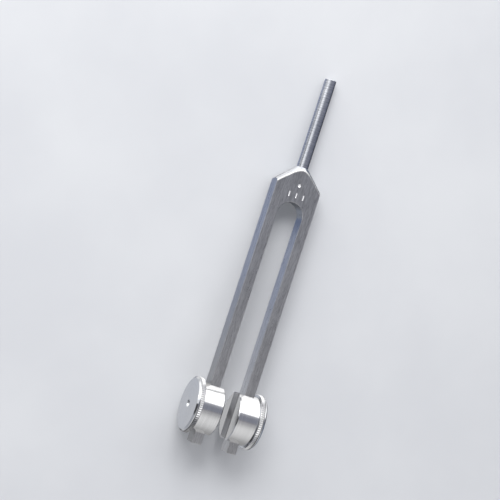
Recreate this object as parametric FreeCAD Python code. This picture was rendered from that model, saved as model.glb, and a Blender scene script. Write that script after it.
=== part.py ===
import FreeCAD, Part
import math
import os
from FreeCAD import Vector

# Weighted tuning fork: a two-tined fork with a slotted round weight on each
# tine, held by a thumbscrew. Millimetres.
# Origin: centre of the stem's flat foot. +Y runs from the foot to the free
# ends of the tines, +X to the right when the front face is seen with the
# tines up, +Z out of the front face.
# The weights and screws are drawn on the right (+X) and mirrored to the left.

# ---- fork -------------------------------------------------------------------
overall_length = 210.0
stem_radius = 3.175            # quarter-inch stem
foot_chamfer = 0.4
bar_width = 26.0               # over both tines
bar_depth = 9.5
tine_thickness = 5.6
edge_break = 0.2               # radius on the bar's front and back edges
shoulder_corner_y = 61.2       # where the shoulder cone meets the bar's corners
shoulder_half_angle = 45.0     # degrees, between the cone and the stem's axis
shoulder_edge_radius = 1.3     # round where the cone meets front and back
gap_bottom_y = 70.4            # bottom of the gap between the tines

tine_outer_x = bar_width / 2
tine_inner_x = tine_outer_x - tine_thickness
front_z = bar_depth / 2

# ---- holes across the tines -------------------------------------------------
weight_y = overall_length - 19.3   # axis of holes, weights and screws
tine_hole_radius = 3.0         # tapped M6, drawn plain
tine_hole_chamfer = 0.35

# ---- slotted weight (axis along X) ------------------------------------------
weight_radius = 13.9
weight_inner_x = 4.5           # inboard end plane
weight_outer_x = 16.5          # outboard end plane, where the screw head seats
weight_inner_chamfer = 0.5
weight_outer_chamfer = 0.3
tine_clearance = 0.05          # between weight and tine, front and back
weight_hole_radius = 3.2       # clearance hole for the M6 stud
weight_hole_chamfer = 0.3

# ---- thumbscrew head --------------------------------------------------------
knurl_count = 80
knurl_tip_radius = 15.4
knurl_root_radius = 15.06
knurl_tip_fraction = 0.20      # flat on top of each tooth, as a part of the pitch
knurl_root_fraction = 0.06     # flat between teeth, likewise
knurl_length = 2.2
knurl_end_chamfer = 0.36
groove_width = 0.3
groove_radius = 14.75
land_width = 0.35              # plain rim outboard of the groove
land_radius = 15.15
head_outer_x = 20.2            # flat outer face
face_radius = 14.3
countersink_radius = 2.2       # turning centre in the outer face
countersink_angle = 80.0       # degrees, across the cone
centre_drill_radius = 0.8      # drilled point at the bottom of the countersink
centre_drill_angle = 118.0
socket_radius = 2.5            # blind bore that takes the end of the stud
socket_depth = 1.2

# ---- threaded stud ----------------------------------------------------------
thread_pitch = 1.0             # M6 x 1
thread_crest_radius = 2.95
thread_root_radius = 2.45
thread_crest_flat = 0.16
thread_root_flat = thread_crest_flat / 2
thread_end_margin = 0.25       # least gap from the last groove's pitch to the head
stud_tip_x = 8.0               # just short of the tine's inner face
stud_tip_chamfer = 0.6

# ---- marks sunk in the front: three short strokes with a dot on the stem side
dot_y = 60.7
dot_radius = 0.95
dot_depth = 0.5
stroke_y = 66.3
stroke_spacing = 4.2
stroke_length = 2.9            # overall, ends rounded
stroke_width = 0.8
stroke_depth = 0.3             # at the bottom of its V

# ---- how far cutting shapes run past the surfaces they cut ------------------
overcut = 1.0
head_overcut = 0.5
mark_overcut = 0.1
far_radius = 20.0              # beyond the bar's corners and the weight's rim


def tan_degrees(angle):
    return math.tan(math.radians(angle))


def box(x0, y0, z0, x1, y1, z1):
    return Part.makeBox(x1 - x0, y1 - y0, z1 - z0, Vector(x0, y0, z0))


def closed_face(points):
    return Part.Face(Part.makePolygon(points + [points[0]]))


def turned_on_stem(profile):
    """Solid turned about the stem's axis from (radius, y) pairs."""
    face = closed_face([Vector(radius, y, 0) for radius, y in profile])
    return face.revolve(Vector(0, 0, 0), Vector(0, 1, 0), 360)


def turned_on_screw(profile):
    """Solid turned about the screws' axis from (x, radius) pairs."""
    face = closed_face([Vector(x, weight_y + radius, 0) for x, radius in profile])
    return face.revolve(Vector(0, weight_y, 0), Vector(1, 0, 0), 360)


def hole_cutter(inner_x, outer_x, radius, chamfer, side=1):
    """Cutter for a hole on the screws' axis, with 45 degree chamfers at both ends."""
    flare_radius = radius + chamfer + overcut
    profile = [(inner_x - overcut, 0), (inner_x - overcut, flare_radius),
               (inner_x + chamfer, radius), (outer_x - chamfer, radius),
               (outer_x + overcut, flare_radius), (outer_x + overcut, 0)]
    return turned_on_screw([(side * x, r) for x, r in profile])


def one_solid(shape, name):
    shape = shape.removeSplitter()
    if len(shape.Solids) != 1:
        raise ValueError("%s has %d solids" % (name, len(shape.Solids)))
    solid = shape.Solids[0]
    if not solid.isValid():
        raise ValueError("%s is not valid" % name)
    return solid


# ---- marks ------------------------------------------------------------------
def widened(radius, depth):
    """Radius or half width of a mark's cutter at its top, above the front face."""
    return radius * (depth + mark_overcut) / depth


def dot_cutter(x, y, radius, depth):
    """Cone with its point down in the front face."""
    return Part.makeCone(0, widened(radius, depth), depth + mark_overcut,
                         Vector(x, y, front_z - depth), Vector(0, 0, 1))


def stroke_cutter(x):
    """V-shaped bar along Y with conical ends."""
    radius = stroke_width / 2
    reach = stroke_length / 2 - radius
    half_top = widened(radius, stroke_depth)
    start_y = stroke_y - reach
    top_z = front_z + mark_overcut
    vee = closed_face([Vector(x - half_top, start_y, top_z),
                       Vector(x + half_top, start_y, top_z),
                       Vector(x, start_y, front_z - stroke_depth)])
    vee = vee.extrude(Vector(0, 2 * reach, 0))
    return vee.fuse([dot_cutter(x, stroke_y + end * reach, radius, stroke_depth)
                     for end in (-1, 1)])


# ---- fork -------------------------------------------------------------------
def make_slotted_bar():
    """Flat bar with the round-bottomed gap between the tines."""
    start_y = 40.0             # on the stem, below the shoulders
    bar = box(-tine_outer_x, start_y, -front_z, tine_outer_x, overall_length, front_z)
    gap_radius = tine_inner_x
    centre_y = gap_bottom_y + gap_radius
    back_z = -front_z - overcut
    gap = box(-tine_inner_x, centre_y, back_z,
              tine_inner_x, overall_length + overcut, front_z + overcut)
    gap = gap.fuse(Part.makeCylinder(gap_radius, bar_depth + 2 * overcut,
                                     Vector(0, centre_y, back_z), Vector(0, 0, 1)))
    return bar.cut(gap).removeSplitter()


def front_and_back_edges(shape, on_shoulders):
    """Edges lying in the front and back faces: the shoulders', or all the others."""
    tolerance = 1e-3
    found = []
    for edge in shape.Edges:
        bounds = edge.BoundBox
        flat = bounds.ZMax - bounds.ZMin < tolerance
        in_face = abs(abs(bounds.ZMin) - front_z) < tolerance
        low = bounds.YMax <= shoulder_corner_y + 2
        if flat and in_face and low == on_shoulders:
            found.append(edge)
    return found


def make_fork():
    # the shoulders are a cone on the stem's axis
    corner_radius = math.hypot(tine_outer_x, front_z)
    slope = 1 / tan_degrees(shoulder_half_angle)
    cone_tip_y = shoulder_corner_y - corner_radius * slope
    stem_end_y = cone_tip_y + stem_radius * slope
    envelope_start_y = 5.0
    envelope_end_y = overall_length + 5
    envelope = turned_on_stem([(0, envelope_start_y), (stem_radius, envelope_start_y),
                               (stem_radius, stem_end_y),
                               (far_radius, cone_tip_y + far_radius * slope),
                               (far_radius, envelope_end_y), (0, envelope_end_y)])
    fork = make_slotted_bar().common(envelope).removeSplitter()

    # the larger shoulder rounds go first, then the broken edges meet them
    fork = fork.makeFillet(shoulder_edge_radius, front_and_back_edges(fork, True))
    fork = fork.removeSplitter()
    fork = fork.makeFillet(edge_break, front_and_back_edges(fork, False))

    # the stem's flared end overlaps the shoulders along the same cone
    overlap = 1.0
    overlap_y = stem_end_y + overlap * slope
    stem = turned_on_stem([(0, 0), (stem_radius - foot_chamfer, 0),
                           (stem_radius, foot_chamfer), (stem_radius, stem_end_y),
                           (stem_radius + overlap, overlap_y), (0, overlap_y)])
    fork = fork.fuse(stem)

    for side in (-1, 1):
        fork = fork.cut(hole_cutter(tine_inner_x, tine_outer_x, tine_hole_radius,
                                    tine_hole_chamfer, side))

    fork = fork.cut(dot_cutter(0, dot_y, dot_radius, dot_depth))
    for i in (-1, 0, 1):
        fork = fork.cut(stroke_cutter(i * stroke_spacing))
    return one_solid(fork, "fork_body")


# ---- right-hand weight and screw --------------------------------------------
def make_weight():
    drum = turned_on_screw([
        (weight_inner_x, 0),
        (weight_inner_x, weight_radius - weight_inner_chamfer),
        (weight_inner_x + weight_inner_chamfer, weight_radius),
        (weight_outer_x - weight_outer_chamfer, weight_radius),
        (weight_outer_x, weight_radius - weight_outer_chamfer),
        (weight_outer_x, 0)])
    # slot for the tine, open inboard and bottoming on the tine's outer face
    slot_z = front_z + tine_clearance
    slot = box(weight_inner_x - overcut, weight_y - far_radius, -slot_z,
               tine_outer_x, weight_y + far_radius, slot_z)
    drum = drum.cut(slot)
    hole = hole_cutter(tine_outer_x, weight_outer_x, weight_hole_radius,
                       weight_hole_chamfer)
    return one_solid(drum.cut(hole), "weight")


def make_knurl():
    """Straight-knurled disc, its teeth chamfered at both ends."""
    pitch = 2 * math.pi / knurl_count
    half_tip = pitch * knurl_tip_fraction / 2
    root_offset = pitch / 2 - pitch * knurl_root_fraction / 2
    tooth = [(-root_offset, knurl_root_radius), (-half_tip, knurl_tip_radius),
             (half_tip, knurl_tip_radius), (root_offset, knurl_root_radius)]
    outline = []
    for i in range(knurl_count):
        for offset, radius in tooth:
            angle = i * pitch + offset
            outline.append(Vector(weight_outer_x, weight_y + radius * math.cos(angle),
                                  radius * math.sin(angle)))
    disc = closed_face(outline).extrude(Vector(knurl_length, 0, 0))

    # between the chamfers the trimming solid stands clear of the teeth
    clear_radius = 17.0
    inner_x = weight_outer_x
    outer_x = inner_x + knurl_length
    end_radius = knurl_tip_radius - knurl_end_chamfer
    return disc.common(turned_on_screw([
        (inner_x, 0), (inner_x, end_radius),
        (inner_x + knurl_end_chamfer, knurl_tip_radius),
        (inner_x + knurl_end_chamfer, clear_radius),
        (outer_x - knurl_end_chamfer, clear_radius),
        (outer_x - knurl_end_chamfer, knurl_tip_radius),
        (outer_x, end_radius), (outer_x, 0)]))


def make_head():
    groove_x = weight_outer_x + knurl_length
    land_x = groove_x + groove_width
    bevel_x = land_x + land_width
    cap = turned_on_screw([(groove_x, 0), (groove_x, groove_radius),
                           (land_x, groove_radius), (land_x, land_radius),
                           (bevel_x, land_radius), (head_outer_x, face_radius),
                           (head_outer_x, 0)])
    head = make_knurl().fuse(cap)

    # turning centre: a countersink running down to a drill point
    flare = tan_degrees(countersink_angle / 2)
    drill_x = head_outer_x - (countersink_radius - centre_drill_radius) / flare
    point_x = drill_x - centre_drill_radius / tan_degrees(centre_drill_angle / 2)
    mouth_x = head_outer_x + head_overcut
    head = head.cut(turned_on_screw([
        (point_x, 0), (drill_x, centre_drill_radius),
        (mouth_x, countersink_radius + head_overcut * flare), (mouth_x, 0)]))

    socket_start_x = weight_outer_x - head_overcut
    socket_end_x = weight_outer_x + socket_depth
    head = head.cut(turned_on_screw([
        (socket_start_x, 0), (socket_start_x, socket_radius),
        (socket_end_x, socket_radius), (socket_end_x, 0)]))
    return one_solid(head, "thumbscrew_head")


def make_stud():
    """Stud whose thread is drawn as separate ring grooves, not a helix."""
    chamfer_end_x = stud_tip_x + stud_tip_chamfer
    profile = [(stud_tip_x, 0), (stud_tip_x, thread_crest_radius - stud_tip_chamfer),
               (chamfer_end_x, thread_crest_radius)]
    groove_mouth = thread_pitch - thread_crest_flat
    x = chamfer_end_x + thread_crest_flat / 2
    while x + thread_pitch < weight_outer_x - thread_end_margin:
        profile += [(x, thread_crest_radius),
                    (x + (groove_mouth - thread_root_flat) / 2, thread_root_radius),
                    (x + (groove_mouth + thread_root_flat) / 2, thread_root_radius),
                    (x + groove_mouth, thread_crest_radius)]
        x += thread_pitch
    end_x = weight_outer_x + socket_depth
    profile += [(weight_outer_x, thread_crest_radius), (weight_outer_x, socket_radius),
                (end_x, socket_radius), (end_x, 0)]
    return one_solid(turned_on_screw(profile), "thumbscrew_stud")


# ---- export -----------------------------------------------------------------
parts = {"fork_body": make_fork()}
for name, make in (("weight", make_weight), ("thumbscrew_head", make_head),
                   ("thumbscrew_stud", make_stud)):
    right = make()
    parts[name + "_right"] = right
    parts[name + "_left"] = right.mirror(Vector(0, 0, 0), Vector(1, 0, 0))

os.makedirs("parts", exist_ok=True)
for name, shape in parts.items():
    shape.exportStep("parts/%s.step" % name)
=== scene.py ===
"""A tuning fork with two sliding weights, each held by a knurled thumbscrew.

The fork lies along Y with its stem at the low end and its depth along Z.
The weights and thumbscrews are turned about an axis parallel to X at y = AXIS_Y.
"""
import bpy
import math
from mathutils import Matrix, Vector

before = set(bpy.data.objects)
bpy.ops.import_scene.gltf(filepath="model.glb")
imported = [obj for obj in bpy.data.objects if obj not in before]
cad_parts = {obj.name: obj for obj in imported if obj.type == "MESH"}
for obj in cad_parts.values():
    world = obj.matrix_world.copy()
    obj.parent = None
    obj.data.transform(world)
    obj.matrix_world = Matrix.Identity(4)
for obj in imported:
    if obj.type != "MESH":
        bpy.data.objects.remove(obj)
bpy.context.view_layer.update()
scene = bpy.context.scene

AXIS_Y = 0.1907          # axis of the weights and thumbscrews
STEM_RADIUS = 0.003175
HEAD_RADIUS = 0.0154     # thumbscrew head
HALF_DEPTH = 0.00475     # half the bar's depth
SLOT_ROOT_Y = 0.0778     # centre of the cutter marks in the slot's bottom
FLOOR_GAP = 0.00003
FLOOR_HALF_SIZE = 3.0


# ---------------------------------------------------------------------------
# node helpers
# ---------------------------------------------------------------------------
class Value:
    """A shader output. Arithmetic on it adds Math nodes to its graph."""

    def __init__(self, graph, socket):
        self.graph = graph
        self.socket = socket

    def __add__(self, other):
        return self.graph.math("ADD", self, other)

    def __radd__(self, other):
        return self.graph.math("ADD", other, self)

    def __sub__(self, other):
        return self.graph.math("SUBTRACT", self, other)

    def __rsub__(self, other):
        return self.graph.math("SUBTRACT", other, self)

    def __mul__(self, other):
        return self.graph.math("MULTIPLY", self, other)

    def __abs__(self):
        return self.graph.math("ABSOLUTE", self)

    def vary(self, amount):
        """Turn a 0 to 1 pattern into a swing about zero, `amount` wide."""
        return (self - 0.5) * amount

    def ramp(self, off, on, low=0.0, high=1.0, shape="SMOOTHSTEP"):
        """Go from `low` where the value is `off` to `high` where it is `on`."""
        return self.graph.add("ShaderNodeMapRange", {
            "Value": self, "From Min": off, "From Max": on, "To Min": low, "To Max": high,
        }, output="Result", clamp=True, interpolation_type=shape)


class Graph:
    def __init__(self, node_tree):
        self.node_tree = node_tree
        node_tree.nodes.clear()

    def node(self, kind, inputs=None, **settings):
        """Add a node; inputs maps socket to Value or constant, None keeps the default."""
        node = self.node_tree.nodes.new(kind)
        for name, setting in settings.items():
            setattr(node, name, setting)
        for key, value in (inputs or {}).items():
            socket = node.inputs[key]
            if isinstance(value, Value):
                self.node_tree.links.new(value.socket, socket)
            elif value is not None:
                if isinstance(value, tuple):
                    # a colour given as three numbers gets an alpha of 1
                    value += (1.0,) * (len(socket.default_value) - len(value))
                socket.default_value = value
        return node

    def add(self, kind, inputs=None, output=0, **settings):
        """Add a node and return one of its outputs."""
        return Value(self, self.node(kind, inputs, **settings).outputs[output])

    def math(self, operation, first, second=None, third=None, clamp=False):
        return self.add("ShaderNodeMath", {0: first, 1: second, 2: third},
                        operation=operation, use_clamp=clamp)

    def split(self, vector):
        node = self.node("ShaderNodeSeparateXYZ", {0: vector})
        return [Value(self, socket) for socket in node.outputs]

    def mix(self, start, to, by):
        """Mix two numbers."""
        return self.add("ShaderNodeMix", {0: by, 2: start, 3: to}, data_type="FLOAT")

    def tint(self, start, to, by):
        """Mix two colours."""
        return self.add("ShaderNodeMix", {0: by, 6: start, 7: to}, output=2, data_type="RGBA")


class Material(Graph):
    def __init__(self, name):
        self.material = bpy.data.materials.new(name)
        self.material.use_nodes = True
        super().__init__(self.material.node_tree)
        coordinates = self.node("ShaderNodeTexCoord")
        self.position = Value(self, coordinates.outputs["Object"])
        self.normal = Value(self, coordinates.outputs["Normal"])

    def vector(self, x, y, z):
        return self.add("ShaderNodeCombineXYZ", {0: x, 1: y, 2: z})

    def stretched(self, stretch, shift):
        return self.add("ShaderNodeMapping",
                        {"Vector": self.position, "Scale": stretch, "Location": shift},
                        vector_type="POINT")

    def noise(self, stretch=(1, 1, 1), shift=(0, 0, 0), scale=1.0, detail=2.0,
              roughness=0.5, distortion=0.0, vector=None):
        """Noise over the stretched and shifted position, or over `vector`."""
        return self.add("ShaderNodeTexNoise", {
            "Vector": vector or self.stretched(stretch, shift), "Scale": scale,
            "Detail": detail, "Roughness": roughness, "Distortion": distortion,
        }, noise_dimensions="3D")

    def rings(self, radius, density, shift=0.0, roughness=0.6):
        """Concentric turning marks on a face."""
        return self.noise(vector=self.vector(radius * density, shift, 0.0),
                          roughness=roughness)

    def feed(self, along, pitch):
        """Regular tool feed marks."""
        return self.math("SINE", along * (2 * math.pi / pitch))

    def bump(self, height, strength, distance=0.00003):
        return self.add("ShaderNodeBump",
                        {"Strength": strength, "Distance": distance, "Height": height},
                        output="Normal")

    def edge(self, radius):
        """1 on sharp edges, 0 on flats."""
        bevel = self.add("ShaderNodeBevel", {"Radius": radius}, samples=6)
        normal = self.add("ShaderNodeNewGeometry", output="Normal")
        likeness = self.add("ShaderNodeVectorMath", {0: bevel, 1: normal},
                            output="Value", operation="DOT_PRODUCT")
        return (1.0 - likeness).ramp(off=0.02, on=0.25)

    def dirt(self, reach, most):
        """Painted shade: `most` in grooves and under overhangs, 0 where nothing is within reach.
        """
        openness = self.add("ShaderNodeAmbientOcclusion", {"Distance": reach},
                            output="AO", samples=8)
        return openness.ramp(off=0.35, on=0.9, low=most, high=0.0)

    def smudges(self, amount):
        """Soft handling marks: slow changes of roughness at finger size."""
        broad = self.noise(shift=(3.1, 1.7, 0.4), scale=130.0, detail=3.0,
                           roughness=0.6, distortion=0.6)
        small = self.noise(shift=(7.3, 2.9, 5.1), scale=420.0)
        return (broad * 0.7 + small * 0.3).vary(amount)

    def nicks(self, density, seed):
        """Sparse short handling scratches, 0 to 1."""
        cells = self.stretched((900.0 * density, 260.0 * density, 900.0 * density),
                               (seed, seed * 1.7, seed * 0.3))
        border = self.add("ShaderNodeTexVoronoi", {"Vector": cells, "Scale": 0.35},
                          output="Distance", feature="DISTANCE_TO_EDGE")
        line = border.ramp(off=0.0, on=0.012, low=1.0, high=0.0)
        gate = self.noise(shift=(seed, 0, 0), scale=240.0).ramp(off=0.56, on=0.66)
        return line * gate

    def radial(self, axis):
        return self.add("ShaderNodeTangent", direction_type="RADIAL", axis=axis)

    def metal(self, color, roughness, normal, anisotropic=0.0, tangent=None, metallic=1.0,
              rotation=0.0):
        return self.add("ShaderNodeBsdfPrincipled", {
            "Base Color": color, "Metallic": metallic, "Roughness": roughness,
            "Normal": normal, "Anisotropic": anisotropic,
            "Anisotropic Rotation": rotation, "Tangent": tangent})

    def mix_shaders(self, first, second, by):
        return self.add("ShaderNodeMixShader", {0: by, 1: first, 2: second})

    def finish(self, shader):
        self.node("ShaderNodeOutputMaterial", {"Surface": shader})
        return self.material


# ---------------------------------------------------------------------------
# fork body: milled flats brushed lengthwise, stem and shoulders turned
# ---------------------------------------------------------------------------
def slanted_hairs(tree, x, y, z, lean, across, along, shift):
    """Hairlines along Y that lean to one side; `across` and `along` are densities."""
    leaning_x = x + y * lean
    leaning_z = z + y * lean
    return tree.noise(roughness=0.6, vector=tree.vector(
        tree.math("MULTIPLY_ADD", leaning_x, across, shift), y * along,
        tree.math("MULTIPLY_ADD", leaning_z, across, shift * 0.7)))


def flat_color(tree, x, y, z, hair, streak):
    """Brushed flats: tones in streaks, with painted shade on the outer side faces towards the
    tine ends and at the root of the slot.
    """
    normal_x, _, normal_z = tree.split(tree.normal)
    short = (slanted_hairs(tree, x, y, z, lean=0.10, across=1500.0, along=110.0, shift=3.0) * 0.5
             + slanted_hairs(tree, x, y, z, lean=-0.16, across=1700.0, along=130.0,
                             shift=8.0) * 0.5)
    cloud = tree.noise(stretch=(1, 0.35, 1), shift=(0.3, 0.2, 0.8), scale=85.0)
    tone = short.vary(0.95) + streak.vary(0.30) + cloud.vary(0.22) + hair.vary(0.30)
    color = tree.tint((0.50, 0.498, 0.497), to=(0.735, 0.732, 0.732),
                      by=tone.ramp(off=-0.13, on=0.13, shape="LINEAR"))
    patches = tree.noise(stretch=(1, 0.5, 1), shift=(5, 5, 5), scale=60.0)
    color = tree.tint(color, to=(0.60, 0.60, 0.605),
                      by=patches.ramp(off=0.48, on=0.66, high=0.30))

    # painted shade on the outer side faces, deepening towards the tine ends
    side_shade = abs(x).ramp(off=0.0118, on=0.0124) * (
        abs(normal_x).ramp(off=0.8, on=0.95) * y.ramp(off=0.100, on=0.170))
    color = tree.tint(color, to=(0.385, 0.38, 0.365), by=side_shade * 0.60)
    # painted shade deepens on the outer side faces at their very ends, past the weights
    tip_shade = side_shade * y.ramp(off=0.2025, on=0.2050, high=0.35)
    color = tree.tint(color, to=(0.12, 0.12, 0.125), by=tip_shade)
    # painted shade, bluish, over the root of the slot and the inner walls near it
    slot_root_shade = abs(x).ramp(off=0.00760, on=0.00750) * (
        y.ramp(off=0.0900, on=0.0790) * abs(normal_z).ramp(off=0.6, on=0.4))
    slot_root_shade = slot_root_shade * y.ramp(off=0.0700, on=0.0702)
    return tree.tint(color, to=(0.30, 0.33, 0.385), by=slot_root_shade)


def turned_color(tree, y, ring):
    """Turned metal: fine and coarse rings, and a slow change along the stem."""
    coarse = tree.noise(stretch=(200, 4200, 200), shift=(7, 1, 3), roughness=0.6)
    tone = ring * 0.30 + coarse.ramp(off=0.38, on=0.62, shape="LINEAR") * 0.60
    slow = tree.noise(vector=tree.vector(2.7, y * 55.0, 0.4), detail=1.0)
    return tree.tint((0.56, 0.58, 0.63), to=(0.95, 0.96, 0.99), by=tone + slow.vary(1.1))


def struck_marks(x, y, z):
    """1 in the marks struck into the +Z face, just below its surface."""
    area = abs(x).ramp(off=0.0052, on=0.0050) * (
        y.ramp(off=0.0592, on=0.0594) * y.ramp(off=0.0684, on=0.0682))
    return (area * z.ramp(off=HALF_DEPTH - 0.000006, on=HALF_DEPTH - 0.00004)
            * z.ramp(off=HALF_DEPTH - 0.0007, on=HALF_DEPTH - 0.0006))


def fork_material():
    tree = Material("fork_aluminium")
    x, y, z = tree.split(tree.position)
    _, normal_y, _ = tree.split(tree.normal)
    stem = y.ramp(off=0.0508, on=0.0505)
    cone = normal_y.ramp(off=-0.50, on=-0.62) * y.ramp(off=0.0640, on=0.0630)
    turned = tree.math("MAXIMUM", stem, cone, clamp=True)
    root = normal_y.ramp(off=0.05, on=0.2) * y.ramp(off=0.0786, on=0.0780)
    mark = struck_marks(x, y, z)
    edge = tree.edge(radius=0.00025)
    scratches = tree.nicks(density=1.0, seed=3.0) * 0.35

    # lengthwise brushing: fine hairlines, and broader streaks that vary the tone
    fine_hair = tree.noise(stretch=(7200, 46, 7200), detail=3.0, roughness=0.62)
    hair = tree.noise(stretch=(2600, 22, 2600), shift=(4, 9, 2), roughness=0.55)
    streak = tree.noise(stretch=(1050, 22, 1050), shift=(1, 5, 8), detail=3.0, roughness=0.6)
    # turning marks: rings along the axis of the stem and of the shoulder cone
    fine_ring = tree.noise(stretch=(25, 9500, 25), roughness=0.6)
    ring = tree.noise(stretch=(60, 1500, 60), shift=(2, 0, 3))
    # cutter marks in the bottom of the slot run through the thickness
    angle = tree.math("ARCTAN2", x, SLOT_ROOT_Y - y)
    milling = tree.noise(vector=tree.vector(angle * 38.0, 0.0, z * 30.0))

    # relief: each finish in its own area, scratches cut in, shallower where turned
    height = tree.mix(fine_hair * 0.6 + hair * 0.4, to=fine_ring * 0.6 + ring * 0.4, by=turned)
    height = tree.mix(height, to=milling, by=root) - scratches * 0.8
    height = height * tree.mix(1.0, to=0.6, by=turned)
    normal = tree.bump(height, strength=0.30)

    # bright edges and scratches, painted shade in the corners, and a painted highlight in the
    # struck marks
    color = tree.tint(flat_color(tree, x, y, z, hair, streak),
                      to=turned_color(tree, y, ring), by=turned)
    color = tree.tint(color, to=(0.86, 0.86, 0.87), by=edge * 0.35)
    color = tree.tint(color, to=(0.86, 0.86, 0.87), by=scratches * 0.4)
    # painted shade in the corners and grooves, kept out of the marks
    dirt = tree.dirt(reach=0.0012, most=0.25) * (1.0 - mark)
    color = tree.tint(color, to=(0.16, 0.155, 0.15), by=dirt * (1.0 - edge))
    # painted highlight: the struck marks are coloured bright for the light their walls catch
    color = tree.tint(color, to=(0.93, 0.93, 0.94), by=mark)

    roughness = tree.mix(0.30, to=0.16, by=turned) + tree.smudges(0.14) + streak.vary(0.14)
    roughness = tree.math("MAXIMUM", tree.mix(roughness, to=0.22, by=edge), 0.08)
    roughness = tree.mix(roughness, to=0.38, by=mark)

    # reflections spread across the brushing on the flats and across the turning rings
    true_normal = tree.add("ShaderNodeNewGeometry", output="True Normal")
    across = tree.add("ShaderNodeVectorMath", {0: true_normal, 1: (0.003, 1.0, 0.003)},
                      operation="CROSS_PRODUCT")
    flats = tree.metal(color, roughness, normal, anisotropic=0.55, tangent=across,
                       metallic=tree.mix(1.0, to=0.6, by=mark))
    lathed = tree.metal(color, roughness, normal, anisotropic=0.25,
                        tangent=tree.radial("Y"), rotation=0.25)
    return tree.finish(tree.mix_shaders(flats, lathed, by=turned))


# ---------------------------------------------------------------------------
# weight: turned drum with a milled slot
# ---------------------------------------------------------------------------
def axis_radius(tree, y, z):
    """Distance from the weights' axis."""
    from_axis = y - AXIS_Y
    return tree.math("SQRT", from_axis * from_axis + z * z)


def weight_material():
    tree = Material("weight_aluminium")
    x, y, z = tree.split(tree.position)
    normal_x, _, _ = tree.split(tree.normal)
    radius = axis_radius(tree, y, z)
    end_face = abs(normal_x).ramp(off=0.90, on=0.96)
    inside = radius.ramp(off=0.01352, on=0.01345) * abs(z).ramp(off=0.00486, on=0.00481)
    edge = tree.edge(radius=0.0003)

    # turning lines round the drum, rings on its ends, milling in the slot
    fine_cut = tree.noise(stretch=(8200, 18, 18), roughness=0.6)
    cut = tree.noise(stretch=(1900, 40, 40), shift=(3, 1, 2), roughness=0.55)
    height = fine_cut * 0.55 + cut * 0.35 + tree.feed(x, pitch=0.00016) * 0.05
    height = tree.mix(height, to=tree.rings(radius, density=7000.0) * 0.5, by=end_face)
    milling = tree.noise(stretch=(900, 60, 900), shift=(9, 4, 1))
    height = tree.mix(height, to=milling, by=inside)
    height = height - tree.nicks(density=1.3, seed=11.0) * 0.6
    normal = tree.bump(height, strength=0.18)

    color = tree.tint((0.75, 0.75, 0.76), to=(0.82, 0.82, 0.83),
                      by=cut.ramp(off=0.30, on=0.70, shape="LINEAR"))
    color = tree.tint(color, to=(0.655, 0.645, 0.625), by=end_face)
    color = tree.tint(color, to=(0.80, 0.80, 0.81), by=inside)
    color = tree.tint(color, to=(0.90, 0.90, 0.91), by=edge * 0.5)
    # painted shade in the grooves and corners
    dirt = tree.dirt(reach=0.0008, most=0.15)
    color = tree.tint(color, to=(0.17, 0.165, 0.16), by=dirt * (1.0 - edge))

    roughness = tree.mix(0.13, to=0.36, by=inside) + tree.smudges(0.08) + cut.vary(0.06)
    roughness = tree.math("MAXIMUM", roughness, 0.07)
    return tree.finish(tree.metal(
        color, roughness, normal, anisotropic=tree.mix(0.35, to=0.2, by=end_face),
        tangent=tree.radial("X"), rotation=0.25))


# ---------------------------------------------------------------------------
# thumbscrew: head faced on a lathe, knurl crests rubbed bright and knurl roots painted dark as
# painted shade; steel stud
# ---------------------------------------------------------------------------
def knurl_patch_shade(tree, x, y, z, knurl):
    """Painted shade, in uneven blotches, over one stretch of the +X head's knurl."""
    angle = tree.math("ARCTAN2", y - AXIS_Y, z)
    stretch = angle.ramp(off=0.20, on=0.50) * angle.ramp(off=1.75, on=1.45)
    blotches = tree.noise(shift=(4, 4, 4), scale=900.0)
    return (stretch * (knurl * x.ramp(off=0.0, on=0.001))
            * blotches.ramp(off=0.25, on=0.5, low=0.45, high=0.70))


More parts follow.
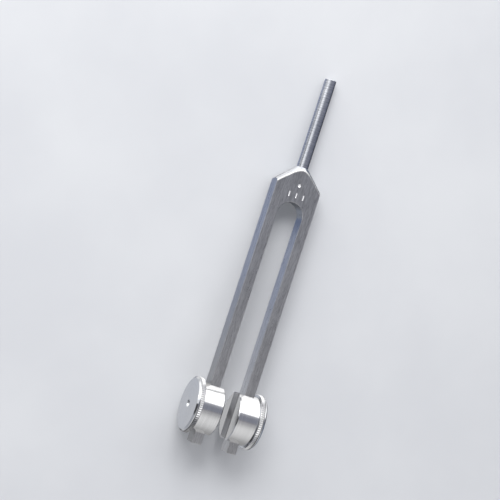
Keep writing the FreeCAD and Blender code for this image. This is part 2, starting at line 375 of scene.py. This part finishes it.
def head_material():
    tree = Material("screw_head_aluminium")
    x, y, z = tree.split(tree.position)
    normal_x, _, _ = tree.split(tree.normal)
    radius = axis_radius(tree, y, z)
    on_face = abs(normal_x).ramp(off=0.90, on=0.96)
    knurl = abs(x).ramp(off=0.01874, on=0.01870) * radius.ramp(off=0.01470, on=0.01480)
    knurl = knurl * (1.0 - on_face)
    crest = radius.ramp(off=0.01507, on=0.01514)
    groove = abs(x).ramp(off=0.01866, on=0.01872) * (
        abs(x).ramp(off=0.01904, on=0.01898) * radius.ramp(off=0.01512, on=0.01500))
    groove = groove * radius.ramp(off=0.01465, on=0.01470)
    edge = tree.edge(radius=0.00022)
    scratches = tree.nicks(density=1.1, seed=23.0)

    # relief: turned rim, rings and feed marks on the face, grain on the knurl
    rim = tree.noise(stretch=(9000, 30, 30), roughness=0.6)
    face = (tree.rings(radius, density=5200.0) * 0.20
            + tree.feed(radius, pitch=0.00014) * 0.015)
    grain = tree.noise(shift=(2, 2, 2), scale=5200.0, detail=3.0, roughness=0.6)
    height = tree.mix(rim * 0.5, to=face, by=on_face)
    height = tree.mix(height, to=grain, by=knurl) - scratches * 0.5
    normal = tree.bump(height, strength=0.20)

    band = tree.rings(radius, density=700.0, shift=3.0, roughness=0.5)
    color = tree.tint((0.70, 0.71, 0.73), to=(0.75, 0.76, 0.78),
                      by=band.ramp(off=0.25, on=0.75, shape="LINEAR"))
    # painted shade: the knurl's roots are coloured near black, the crests bright
    knurl_color = tree.tint((0.035, 0.035, 0.037), to=(0.82, 0.82, 0.83), by=crest)
    color = tree.tint(color, to=knurl_color, by=knurl)
    # slight painted shade in the groove between the knurl and the bevel
    color = tree.tint(color, to=(0.45, 0.45, 0.46), by=groove)
    # painted shade over one stretch of the +X head's knurl
    color = tree.tint(color, to=(0.12, 0.12, 0.125), by=knurl_patch_shade(tree, x, y, z, knurl))
    color = tree.tint(color, to=(0.90, 0.90, 0.91), by=edge * 0.5 * (1.0 - knurl))
    color = tree.tint(color, to=(0.9, 0.9, 0.91), by=scratches * 0.4)
    rubbed = tree.math("MAXIMUM", edge, knurl * crest)
    # painted shade in the grooves and corners, kept off the rubbed edges and crests
    dirt = tree.dirt(reach=0.0006, most=0.12)
    color = tree.tint(color, to=(0.10, 0.10, 0.10), by=dirt * (1.0 - rubbed))

    roughness = tree.mix(0.20, to=0.30, by=knurl) + tree.smudges(0.12) + band.vary(0.06)
    roughness = tree.math("MAXIMUM", roughness, 0.1)
    # the bevel is cut last, with a bright finish
    slope = abs(normal_x)
    bevel = slope.ramp(off=0.60, on=0.66) * slope.ramp(off=0.82, on=0.76)
    roughness = tree.mix(roughness, to=0.10, by=bevel)
    return tree.finish(tree.metal(
        color, roughness, normal, anisotropic=tree.mix(0.25, to=0.0, by=knurl),
        tangent=tree.radial("X"), metallic=tree.mix(1.0, to=0.9, by=knurl * crest),
        rotation=0.25))


def stud_material():
    """Pitted steel thread with bright crests."""
    tree = Material("stud_steel")
    _, y, z = tree.split(tree.position)
    crest = axis_radius(tree, y, z).ramp(off=0.00255, on=0.00290)
    fine = tree.noise(stretch=(9000, 60, 60), roughness=0.6)
    pits = tree.noise(shift=(6, 1, 1), scale=3800.0, detail=3.0, roughness=0.6)
    normal = tree.bump(fine * 0.6 + pits * 0.4, strength=0.35)
    color = tree.tint((0.20, 0.195, 0.19), to=(0.62, 0.62, 0.63), by=crest)
    color = tree.tint(color, to=(0.36, 0.34, 0.32), by=pits.ramp(off=0.5, on=0.75, high=0.4))
    roughness = tree.mix(0.45, to=0.26, by=crest) + pits.vary(0.2)
    return tree.finish(tree.metal(color, roughness, normal))


def assign_materials():
    materials = {
        "fork_body": fork_material(),
        "weight": weight_material(),
        "thumbscrew_head": head_material(),
        "thumbscrew_stud": stud_material(),
    }
    for name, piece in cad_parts.items():
        material = materials[name.replace("_right", "").replace("_left", "")]
        if not piece.material_slots:
            piece.data.materials.append(material)
        for slot in piece.material_slots:
            slot.material = material


# ---------------------------------------------------------------------------
# floor: the fork lies on the stem's foot and the rims of the screw heads
# ---------------------------------------------------------------------------
def floor_material():
    tree = Material("floor_matt")
    cloud = tree.noise(scale=9.0, detail=4.0, roughness=0.55)
    grain = tree.noise(scale=1800.0, roughness=0.6)
    matt = tree.add("ShaderNodeBsdfPrincipled", {
        "Base Color": tree.tint((0.66, 0.672, 0.70), to=(0.71, 0.722, 0.745),
                                by=cloud.ramp(off=0.3, on=0.7)),
        "Roughness": 0.75,
        "Specular IOR Level": 0.25,
        "Normal": tree.bump(grain, strength=0.15, distance=0.0001)})
    # seen from underneath the floor lets the camera through
    backfacing = tree.add("ShaderNodeNewGeometry", output="Backfacing")
    camera_ray = tree.add("ShaderNodeLightPath", output="Is Camera Ray")
    clear = tree.add("ShaderNodeBsdfTransparent")
    return tree.finish(tree.mix_shaders(matt, clear, by=backfacing * camera_ray))


def add_floor():
    tilt = math.asin((HEAD_RADIUS - STEM_RADIUS) / AXIS_Y)
    normal = Vector((0.0, math.sin(tilt), math.cos(tilt)))
    across = Vector((1, 0, 0))
    along = normal.cross(across)
    centre = -normal * (STEM_RADIUS + FLOOR_GAP)
    corners = [centre + across * (i * FLOOR_HALF_SIZE) + along * (j * FLOOR_HALF_SIZE)
               for i, j in ((-1, -1), (1, -1), (1, 1), (-1, 1))]
    mesh = bpy.data.meshes.new("floor")
    mesh.from_pydata(corners, [], [(0, 1, 2, 3)])
    floor = bpy.data.objects.new("floor", mesh)
    scene.collection.objects.link(floor)
    mesh.materials.append(floor_material())
    # reflections of the ground come from the lower half of the surround
    floor.visible_glossy = False


# ---------------------------------------------------------------------------
# camera and lights
# ---------------------------------------------------------------------------
def add_camera():
    """Above the fork, about 18 degrees round towards +X, stem at the top."""
    lens = bpy.data.cameras.new("camera")
    lens.sensor_width = 36.0
    lens.lens = 115.9
    lens.clip_start = 0.01
    lens.clip_end = 20.0
    camera = bpy.data.objects.new("camera", lens)
    scene.collection.objects.link(camera)
    place = Vector((0.2852, 0.1342, 0.8264))
    right = Vector((-0.8995, -0.3105, 0.3074))
    up = Vector((0.3061, -0.9499, -0.0636))
    # square up the three directions
    back = right.cross(up).normalized()
    right = up.cross(back).normalized()
    up = back.cross(right).normalized()
    rotation = Matrix((right, up, back)).transposed()
    camera.matrix_world = Matrix.Translation(place) @ rotation.to_4x4()
    scene.camera = camera


def add_key_light():
    """A soft box for the shadows; the metal reflects only the surround."""
    place = Vector((0.45, -0.55, 0.75))
    target = Vector((0.0, 0.12, 0.0))
    light = bpy.data.lights.new("key", "AREA")
    light.shape = "RECTANGLE"
    light.size = 0.7
    light.size_y = 0.5
    light.energy = 7.0
    key = bpy.data.objects.new("key", light)
    scene.collection.objects.link(key)
    key.location = place
    key.rotation_mode = "QUATERNION"
    key.rotation_quaternion = (target - place).to_track_quat("-Z", "Y")
    key.visible_camera = False
    key.visible_glossy = False


# ---------------------------------------------------------------------------
# surround: graded tones for the metal to reflect
# ---------------------------------------------------------------------------
# (degrees, grey or colour) round the weights' axis: 0 is straight up,
# positive towards the stem
WEIGHT_TONES = [
    (-180, (0.56, 0.58, 0.62)), (-175, (0.64, 0.65, 0.68)), (-169, (0.20, 0.20, 0.21)),
    (-163, 0.09), (-158, 0.24), (-150, 0.32), (-120, 0.37), (-100, 0.47),
    (-90, 0.56), (-80, 0.64), (-60, 0.75), (-45, 0.77), (-35, 0.74), (-25, 0.63),
    (-15, (0.46, 0.46, 0.47)), (-8, (0.41, 0.41, 0.425)), (-3, (0.295, 0.295, 0.315)),
    (0, (0.285, 0.285, 0.305)), (6, (0.31, 0.315, 0.345)), (20, (0.34, 0.35, 0.39)),
    (29.5, (0.37, 0.38, 0.42)), (33, 1.5), (45, 2.2), (74, 2.2), (86, 1.5),
    (125, 1.35), (136, 1.05), (150, 0.98), (160, 0.82), (166, 0.62),
    (172, (0.38, 0.41, 0.52)), (180, (0.46, 0.50, 0.60))]
# the same round the fork's own axis: 0 is straight up, positive towards +X
FORK_TONES = [
    (-180, (0.21, 0.24, 0.35)), (-165, (0.055, 0.06, 0.075)), (-150, (0.035, 0.04, 0.05)),
    (-118, (0.065, 0.07, 0.09)), (-86, (0.135, 0.145, 0.185)), (-54, (0.205, 0.215, 0.265)),
    (-22, (0.24, 0.25, 0.295)), (0, (0.285, 0.295, 0.34)), (6, (0.35, 0.36, 0.40)),
    (14, (0.50, 0.515, 0.56)), (24, (0.80, 0.82, 0.86)), (38, 1.12), (50, 1.10),
    (65, (0.97, 0.98, 1.0)), (80, (0.81, 0.82, 0.85)), (95, (0.59, 0.60, 0.64)),
    (106, (0.42, 0.44, 0.49)), (122, (0.31, 0.335, 0.40)), (140, (0.33, 0.37, 0.47)),
    (158, (0.33, 0.395, 0.58)), (180, (0.21, 0.24, 0.35))]


def graded(graph, angle, stops):
    """Colour by angle in radians, from a table of tones by degrees."""
    node = graph.node("ShaderNodeValToRGB", {0: angle * (1.0 / (2 * math.pi)) + 0.5})
    elements = node.color_ramp.elements
    while len(elements) > 1:
        elements.remove(elements[-1])
    for i, (degrees, tone) in enumerate(stops):
        position = (degrees + 180.0) / 360.0
        stop = elements[0] if i == 0 else elements.new(position)
        stop.position = position
        stop.color = (tone if isinstance(tone, tuple) else (tone,) * 3) + (1.0,)
    return Value(graph, node.outputs[0])


def surround_color(graph, x, y, z):
    """Colour by direction x, y, z: graded tones with soft-edged patches over them."""
    color = graded(graph, graph.math("ARCTAN2", y * -1.0, z), WEIGHT_TONES)
    # a band of directions square to the fork takes the fork's own tones
    far = z.ramp(off=-0.5, on=-0.8) * x.ramp(off=-0.40, on=-0.15)
    start_y = -0.42 + far * 0.16
    band = y.ramp(off=start_y, on=start_y + 0.18) * y.ramp(off=0.045, on=-0.02)
    color = graph.tint(color, to=graded(graph, graph.math("ARCTAN2", x, z), FORK_TONES), by=band)
    # quiet side towards -X
    start_x = z.ramp(off=-0.3, on=0.1, low=0.39, high=0.50)
    quiet = (x * -1.0).ramp(off=start_x, on=start_x + 0.25) * (1.0 - band)
    quiet_color = graph.tint((0.10, 0.135, 0.195), to=(0.24, 0.24, 0.26),
                             by=z.ramp(off=-0.1, on=0.1))
    color = graph.tint(color, to=quiet_color, by=quiet)
    # dark patch low down on the -X side
    dark = x.ramp(off=-0.10, on=-0.25) * z.ramp(off=-0.5, on=-0.7) * (
        y.ramp(off=0.32, on=0.20) * y.ramp(off=-0.34, on=-0.22))
    color = graph.tint(color, to=(0.05, 0.055, 0.07), by=dark)
    # pale patch high up on the +X side
    pale = x.ramp(off=0.08, on=0.22) * x.ramp(off=0.62, on=0.48) * (
        z.ramp(off=0.60, on=0.80) * y.ramp(off=0.0, on=0.05))
    color = graph.tint(color, to=(0.86, 0.87, 0.90), by=pale)
    # a little less light low down on the +X side, towards the stem
    dim = x.ramp(off=0.18, on=0.32) * z.ramp(off=-0.5, on=-0.65) * (
        y.ramp(off=-0.70, on=-0.58) * y.ramp(off=-0.20, on=-0.32))
    color = graph.tint(color, to=(0.42, 0.44, 0.48), by=dim * 0.6)
    # darker quarter towards +X and +Y
    quarter = x.ramp(off=0.02, on=0.20) * y.ramp(off=0.10, on=0.28)
    quarter_color = graph.tint((0.57, 0.58, 0.61), to=(0.41, 0.42, 0.45),
                               by=z.ramp(off=-0.85, on=-0.40))
    color = graph.tint(color, to=quarter_color, by=quarter)
    # darkest where the screw heads' bevels look
    spot = x.ramp(off=0.82, on=0.90) * (
        z.ramp(off=0.48, on=0.38) * z.ramp(off=0.04, on=0.16)) * (
        y.ramp(off=-0.15, on=-0.11) * y.ramp(off=0.46, on=0.28))
    color = graph.tint(color, to=(0.075, 0.076, 0.08), by=spot)
    # round black hole, mostly towards +Y
    hole = x * 0.45 + y * 0.86 + z * 0.24
    return graph.tint(color, to=(0.02, 0.02, 0.02), by=hole.ramp(off=0.885, on=0.935))


def add_surround():
    world = bpy.data.worlds.new("surround")
    scene.world = world
    world.use_nodes = True
    graph = Graph(world.node_tree)
    direction = graph.add("ShaderNodeTexCoord", output="Generated")
    color = surround_color(graph, *graph.split(direction))
    # the camera itself sees a plain pale backdrop
    camera_ray = graph.add("ShaderNodeLightPath", output="Is Camera Ray")
    color = graph.tint(color, to=(0.52, 0.53, 0.55), by=camera_ray)
    background = graph.add("ShaderNodeBackground", {"Color": color, "Strength": 1.0})
    graph.node("ShaderNodeOutputWorld", {"Surface": background})


assign_materials()
add_floor()
add_camera()
add_key_light()
add_surround()

scene.view_settings.view_transform = "Standard"
scene.view_settings.look = "None"
scene.view_settings.exposure = 0.0
